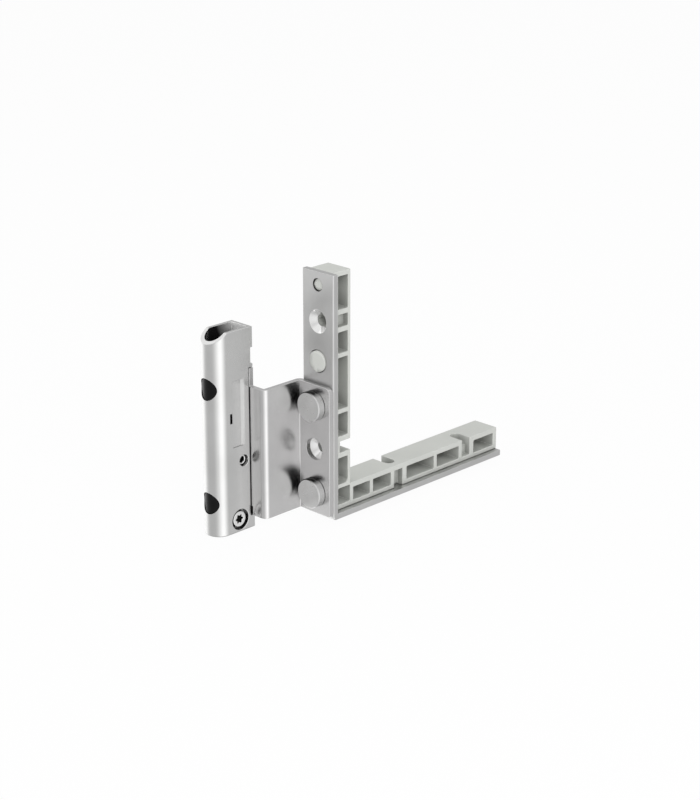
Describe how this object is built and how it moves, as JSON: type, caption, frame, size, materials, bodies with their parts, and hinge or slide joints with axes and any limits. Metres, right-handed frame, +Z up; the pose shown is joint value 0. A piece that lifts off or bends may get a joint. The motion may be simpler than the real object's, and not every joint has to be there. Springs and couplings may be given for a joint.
{
  "type": "window corner hinge",
  "caption": "Sash-side corner hinge of a tilt-and-turn window: steel angle with ribbed plastic groove filler, folded hinge plate on stud rivets, and a height-adjustable pivot housing.",
  "frame": {"origin": "On the hinge axis, at the bottom face of the hinge housing, where the frame's pivot pin enters the bore.", "axes": "+X runs along the angle's lower arm, under the sash; +Y points to the room side; +Z is up along the hinge axis."},
  "size_m": [0.1339, 0.0341, 0.099],
  "materials": {
    "angle_steel": "satin, plated",
    "filler_plastic": "matte, light grey",
    "plate_steel": "bright satin, plated",
    "rivet_steel": "satin, plated",
    "block_steel": "machined",
    "housing_metal": "bright satin, plated casting",
    "bush_plastic": "smooth black",
    "spindle_steel": "turned",
    "screw_steel": "turned, plated"
  },
  "bodies": {
    "sash_bracket": {"corner_angle": "angle_steel", "groove_filler": "filler_plastic", "hinge_plate": "plate_steel", "rivet_lower": "rivet_steel", "rivet_upper": "rivet_steel", "slide_block": "block_steel"},
    "hinge_body": {"hinge_housing": "housing_metal", "pivot_bush_lower": "bush_plastic", "pivot_bush_upper": "bush_plastic", "thrust_washer": "spindle_steel"},
    "height_spindle": {"height_spindle": "spindle_steel", "spindle_clip": "spindle_steel"},
    "lock_screw": {"lock_screw": "screw_steel"},
    "lift_lock_cam": {"lift_lock_cam": "screw_steel"}
  },
  "joints": [
    {"name": "height_adjust", "type": "slide", "parent": "sash_bracket", "child": "hinge_body", "axis": [0, 0, 1], "range_m": [0, 0.0035]},
    {"name": "spindle_turn", "type": "hinge", "parent": "hinge_body", "child": "height_spindle", "pos_m": [0.00805, 0.0009, 0.0725], "axis": [0, 0, 1], "range_deg": [0, 1800]},
    {"name": "lock_turn", "type": "hinge", "parent": "hinge_body", "child": "lock_screw", "pos_m": [0.00805, -0.0042, 0.028], "axis": [0, -1, 0], "range_deg": [0, 180]},
    {"name": "lift_lock_turn", "type": "hinge", "parent": "hinge_body", "child": "lift_lock_cam", "pos_m": [0.0058, -0.0049, 0.0049], "axis": [0, -1, 0], "range_deg": [0, 180]}
  ],
  "couplings": [
    {"joint": "spindle_turn", "follows": "height_adjust", "rad_per_m": 8975.9}
  ]
}
